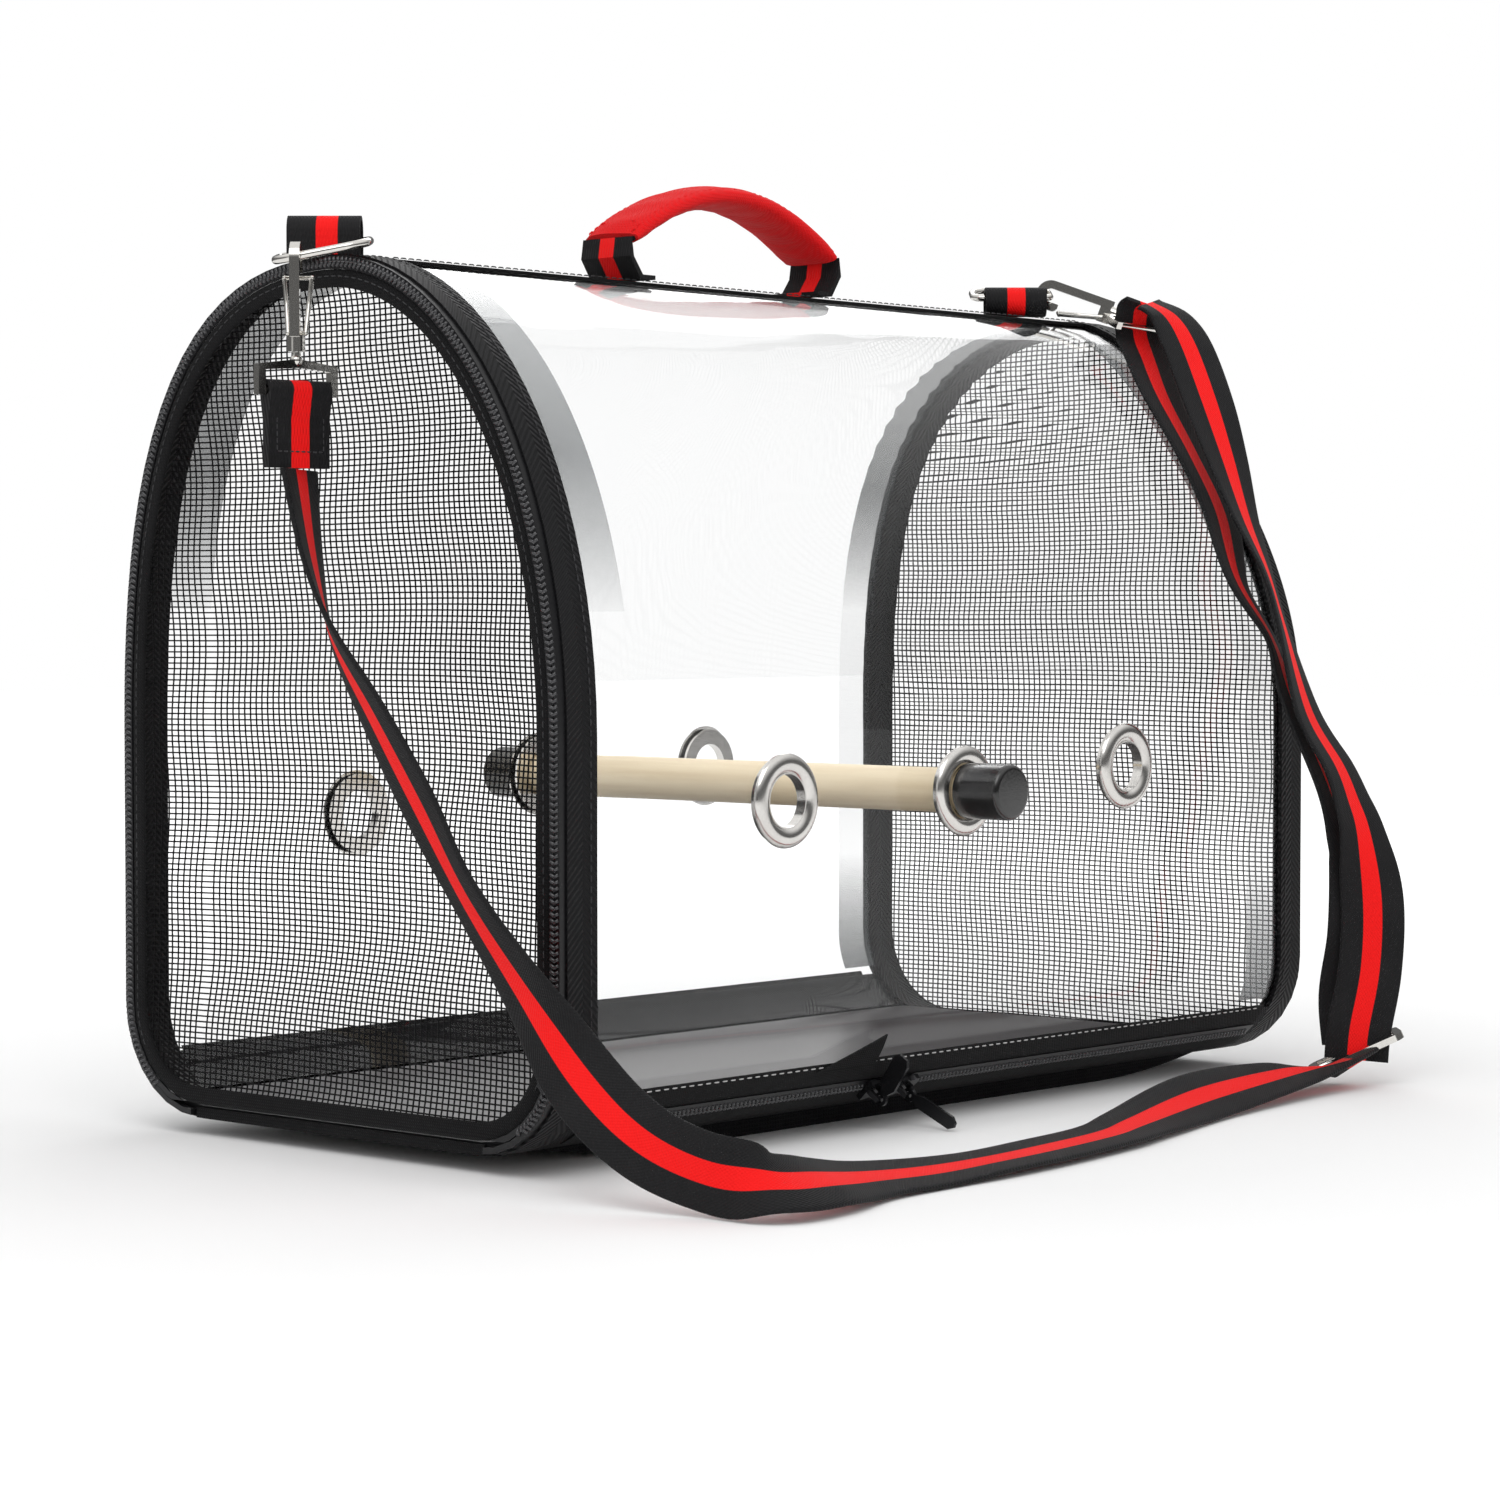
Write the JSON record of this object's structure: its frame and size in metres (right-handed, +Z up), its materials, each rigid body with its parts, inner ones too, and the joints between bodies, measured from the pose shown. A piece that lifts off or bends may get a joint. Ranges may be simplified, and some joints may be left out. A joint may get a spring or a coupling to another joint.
{
  "type": "bird travel carrier",
  "caption": "Clear arched bird travel carrier with a zipped mesh door, black padded base, wooden perch through eyelets, red top handle and a clip-on shoulder strap.",
  "frame": {"origin": "on the floor under the middle of the carrier's body", "axes": "+Z up, +X along the tunnel from the mesh door to the sewn mesh end, -Y towards the zipped front wall"},
  "size_m": [0.467, 0.3518, 0.3443],
  "materials": {
    "clear_sheet": "gloss",
    "black_cloth": "matt",
    "mesh": "matt",
    "floor_board": "satin",
    "hoop": "satin",
    "zip": "satin",
    "zip_metal": "gloss",
    "red_cloth": "matt",
    "webbing": "matt",
    "chrome": "polished",
    "wood": "smooth",
    "rubber": "gloss"
  },
  "bodies": {
    "shell": {"clear_shell": "clear_sheet", "base_tray": "black_cloth", "floor_board": "floor_board", "crest_tape": "black_cloth", "near_binding": "black_cloth", "near_hoop": "hoop", "near_zip_outer": "zip", "near_hinge_tape": "black_cloth", "far_binding": "black_cloth", "far_hoop": "hoop", "far_border": "black_cloth", "far_mesh": "mesh", "front_zip_upper": "black_cloth", "front_zip_lower": "black_cloth", "front_zip_chain": "zip", "zip_tab": "black_cloth", "back_hem": "black_cloth", "eyelet_front_near": "chrome", "eyelet_front_middle": "chrome", "eyelet_front_far": "chrome", "eyelet_back_near": "chrome", "eyelet_back_middle": "chrome", "eyelet_back_far": "chrome", "handle_foot_near": "webbing", "handle_foot_far": "webbing", "near_loop": "webbing", "far_loop": "webbing", "strap_front": "webbing", "strap_rise": "webbing", "strap_return": "webbing", "adjuster_frame": "chrome", "adjuster_bar": "chrome"},
    "door": {"door_zip_inner": "zip", "door_border": "black_cloth", "door_mesh": "mesh", "door_slider": "zip_metal"},
    "door_tab": {"door_pull": "zip_metal"},
    "perch": {"perch_dowel": "wood"},
    "cap_front": {"perch_cap_front": "rubber"},
    "cap_back": {"perch_cap_back": "rubber"},
    "zip_left": {"slider_left": "zip_metal"},
    "tab_left": {"pull_left": "zip_metal"},
    "zip_right": {"slider_right": "zip_metal"},
    "tab_right": {"pull_right": "zip_metal"},
    "handle": {"handle_sleeve": "red_cloth", "handle_webbing": "black_cloth"},
    "near_clip": {"near_ring": "chrome", "near_hook": "chrome"},
    "near_latch": {"near_gate": "chrome"},
    "near_swivel": {"near_eye": "chrome", "near_strap_end": "webbing"},
    "far_clip": {"far_ring": "chrome", "far_hook": "chrome"},
    "far_latch": {"far_gate": "chrome"},
    "far_swivel": {"far_eye": "chrome"}
  },
  "joints": [
    {"name": "near_door", "type": "hinge", "parent": "shell", "child": "door", "pos_m": [-0.2162, 0, 0.009], "axis": [0, -1, 0], "range_deg": [0, 85], "deforming": ["strap_front"]},
    {"name": "door_tab_swing", "type": "hinge", "parent": "door", "child": "door_tab", "pos_m": [-0.2199, -0.1075, 0.0526], "axis": [0, 1, 0], "range_deg": [0, 100]},
    {"name": "perch_spin", "type": "hinge", "parent": "shell", "child": "perch", "pos_m": [-0.005, 0, 0.121], "axis": [0, 1, 0], "continuous": true},
    {"name": "cap_front_pull", "type": "slide", "parent": "perch", "child": "cap_front", "axis": [0, -1, 0], "range_m": [0, 0.03]},
    {"name": "cap_back_pull", "type": "slide", "parent": "perch", "child": "cap_back", "axis": [0, 1, 0], "range_m": [0, 0.03]},
    {"name": "zip_left_slide", "type": "slide", "parent": "shell", "child": "zip_left", "axis": [1, 0, 0], "range_m": [-0.13, 0]},
    {"name": "tab_left_swing", "type": "hinge", "parent": "zip_left", "child": "tab_left", "pos_m": [-0.045, -0.10315, 0.01163], "axis": [1, 0, 0], "range_deg": [0, 80]},
    {"name": "zip_right_slide", "type": "slide", "parent": "shell", "child": "zip_right", "axis": [1, 0, 0], "range_m": [0, 0.19]},
    {"name": "tab_right_swing", "type": "hinge", "parent": "zip_right", "child": "tab_right", "pos_m": [-0.029, -0.10315, 0.01163], "axis": [1, 0, 0], "range_deg": [-80, 0]},
    {"name": "handle_fold", "type": "hinge", "parent": "shell", "child": "handle", "pos_m": [-0.02, 0, 0.313], "axis": [1, 0, 0], "range_deg": [-40, 40], "deforming": ["handle_foot_near", "handle_foot_far"]},
    {"name": "near_clip_swing", "type": "hinge", "parent": "shell", "child": "near_clip", "pos_m": [-0.21266, 0.00507, 0.3099], "axis": [-0.6519, 0.7339, -0.191], "range_deg": [0, 70]},
    {"name": "near_latch_open", "type": "hinge", "parent": "near_clip", "child": "near_latch", "pos_m": [-0.23152, -0.0017, 0.28002], "axis": [0.6642, -0.7476, 0], "range_deg": [0, 20], "stiffness_Nm_per_rad": 0.002, "springref_deg": -11.46},
    {"name": "near_swivel_turn", "type": "hinge", "parent": "near_clip", "child": "near_swivel", "pos_m": [-0.23347, -0.00343, 0.3045], "axis": [0, 0, 1], "range_deg": [-30, 30]},
    {"name": "far_clip_swing", "type": "hinge", "parent": "shell", "child": "far_clip", "pos_m": [0.16464, 0.00075, 0.3158], "axis": [0.6642, -0.7476, 0], "range_deg": [0, 60], "deforming": ["strap_rise", "strap_return"]},
    {"name": "far_latch_open", "type": "hinge", "parent": "far_clip", "child": "far_latch", "pos_m": [0.1961, -0.02393, 0.30815], "axis": [0.8161, 0.5779, 0], "range_deg": [0, 20], "stiffness_Nm_per_rad": 0.002, "springref_deg": -11.46},
    {"name": "far_swivel_turn", "type": "hinge", "parent": "far_clip", "child": "far_swivel", "pos_m": [0.18332, -0.00586, 0.31898], "axis": [-0.543, 0.767, 0.342], "range_deg": [-10, 10], "deforming": ["strap_rise", "strap_return"]}
  ]
}
